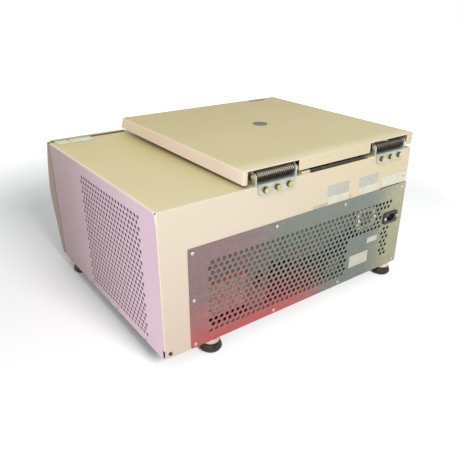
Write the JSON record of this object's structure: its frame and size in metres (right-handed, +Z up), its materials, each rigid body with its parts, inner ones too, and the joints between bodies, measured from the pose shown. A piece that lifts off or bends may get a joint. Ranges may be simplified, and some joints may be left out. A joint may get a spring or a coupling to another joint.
{
  "type": "microplate centrifuge",
  "caption": "Refrigerated benchtop centrifuge with an off-centre hinged lid over a round chamber and a swing-out rotor for microplates.",
  "frame": {"origin": "middle of the footprint on the bench", "axes": "+Z up, the controls face -Y, +X to the user's right"},
  "size_m": [0.64, 0.5588, 0.3522],
  "materials": {
    "cream_paint": "satin enamel on sheet steel",
    "cream_plastic": "fine-grained moulding",
    "galvanised": "zinc-coated sheet",
    "overlay": "gloss foil",
    "display": "gloss pane",
    "zinc_screws": "bright zinc",
    "zinc_plate": "zinc-plated",
    "yellow_zinc": "yellow-passivated zinc",
    "nickel": "nickel",
    "black_plastic": "matte",
    "grey_plastic": "matte",
    "label": "printed foil, bare",
    "rubber": "matte",
    "stainless": "brushed",
    "foam": "foam",
    "copper": "drawn copper",
    "dark_paint": "satin enamel",
    "bare_aluminium": "mill finish",
    "cast_aluminium": "anodised",
    "phenolic": "phenolic laminate",
    "spring_steel": "oiled",
    "tinted_glass": "clear disc"
  },
  "bodies": {
    "housing": {"housing_cover": "cream_paint", "right_side_panel": "cream_paint", "left_side_panel": "cream_paint", "base_pan": "galvanised", "front_bulkhead": "galvanised", "front_fascia": "cream_plastic", "control_panel": "overlay", "display_window": "display", "rear_grille": "galvanised", "rear_panel_screws": "zinc_screws", "base_screws": "zinc_screws", "power_inlet": "black_plastic", "inlet_pins": "nickel", "blank_labels": "label", "right_hinge_bracket": "zinc_plate", "left_hinge_bracket": "zinc_plate", "hinge_bolts": "zinc_screws", "foot_stems": "cream_plastic", "foot_rubbers": "rubber", "chamber_bowl": "stainless", "chamber_insulation": "foam", "armour_ring": "galvanised", "evaporator_coil": "copper", "chamber_gasket": "rubber", "drive_motor": "dark_paint", "rubber_mounts": "rubber", "compressor": "dark_paint", "condenser_fins": "bare_aluminium", "condenser_bends": "copper", "fan_shroud": "galvanised", "fan_motor": "dark_paint", "refrigerant_pipes": "copper", "power_board": "phenolic", "board_components": "black_plastic", "rear_fan_frame": "black_plastic", "latch_frame": "zinc_plate", "rear_seal_strip": "rubber", "switch_frame": "black_plastic", "hinge_springs": "spring_steel"},
    "lid": {"lid_shell": "cream_paint", "lid_liner": "stainless", "sight_glass": "tinted_glass", "lid_hinge_arms": "zinc_plate", "hinge_axles": "yellow_zinc", "lid_striker": "zinc_plate"},
    "rotor": {"motor_shaft": "stainless", "rotor_yoke": "cast_aluminium", "rotor_nut": "zinc_plate"},
    "right_carrier": {"right_plate_carrier": "cast_aluminium"},
    "left_carrier": {"left_plate_carrier": "cast_aluminium"},
    "fan_wheel": {"condenser_fan": "bare_aluminium"},
    "small_fan_wheel": {"rear_fan_wheel": "black_plastic"},
    "latch": {"latch_hook": "zinc_plate"},
    "speed_dial": {"speed_knob": "grey_plastic"},
    "time_dial": {"time_knob": "grey_plastic"},
    "rocker": {"mains_rocker": "black_plastic"},
    "open_button": {"open_key": "grey_plastic"},
    "short_spin_button": {"short_spin_key": "grey_plastic"},
    "start_button": {"start_key": "grey_plastic"},
    "stop_button": {"stop_key": "grey_plastic"}
  },
  "joints": [
    {"name": "lid_hinge", "type": "hinge", "parent": "housing", "child": "lid", "pos_m": [-0.086, 0.264, 0.3265], "axis": [-1, 0, 0], "range_deg": [-0.95, 70], "stiffness_Nm_per_rad": 10, "springref_deg": 106.57},
    {"name": "latch_turn", "type": "hinge", "parent": "housing", "child": "latch", "pos_m": [-0.086, -0.22, 0.249], "axis": [-1, 0, 0], "range_deg": [0, 24]},
    {"name": "rotor_spin", "type": "hinge", "parent": "housing", "child": "rotor", "pos_m": [-0.086, 0.0275, 0.215], "axis": [0, 0, 1], "continuous": true},
    {"name": "right_carrier_swing", "type": "hinge", "parent": "rotor", "child": "right_carrier", "pos_m": [-0.001, 0.0275, 0.215], "axis": [0, -1, 0], "range_deg": [0, 90]},
    {"name": "left_carrier_swing", "type": "hinge", "parent": "rotor", "child": "left_carrier", "pos_m": [-0.171, 0.0275, 0.215], "axis": [0, 1, 0], "range_deg": [0, 90]},
    {"name": "condenser_fan_spin", "type": "hinge", "parent": "housing", "child": "fan_wheel", "pos_m": [0.2555, 0.086, 0.148], "axis": [1, 0, 0], "continuous": true},
    {"name": "small_fan_spin", "type": "hinge", "parent": "housing", "child": "small_fan_wheel", "pos_m": [-0.193, 0.26, 0.1705], "axis": [0, 1, 0], "continuous": true},
    {"name": "speed_knob_turn", "type": "hinge", "parent": "housing", "child": "speed_dial", "pos_m": [0.211, -0.27101, 0.2207], "axis": [0, -0.9629, 0.2699], "continuous": true},
    {"name": "time_knob_turn", "type": "hinge", "parent": "housing", "child": "time_dial", "pos_m": [0.275, -0.27101, 0.2207], "axis": [0, -0.9629, 0.2699], "continuous": true},
    {"name": "mains_rocker_tilt", "type": "hinge", "parent": "housing", "child": "rocker", "pos_m": [0.286, -0.26261, 0.096], "axis": [1, 0, 0], "range_deg": [0, 16]},
    {"name": "open_key_press", "type": "slide", "parent": "housing", "child": "open_button", "axis": [0, 0.9629, -0.2699], "range_m": [0, 0.001], "stiffness_N_per_m": 600},
    {"name": "short_spin_key_press", "type": "slide", "parent": "housing", "child": "short_spin_button", "axis": [0, 0.9629, -0.2699], "range_m": [0, 0.001], "stiffness_N_per_m": 600},
    {"name": "start_key_press", "type": "slide", "parent": "housing", "child": "start_button", "axis": [0, 0.9629, -0.2699], "range_m": [0, 0.001], "stiffness_N_per_m": 600},
    {"name": "stop_key_press", "type": "slide", "parent": "housing", "child": "stop_button", "axis": [0, 0.9629, -0.2699], "range_m": [0, 0.001], "stiffness_N_per_m": 600}
  ]
}
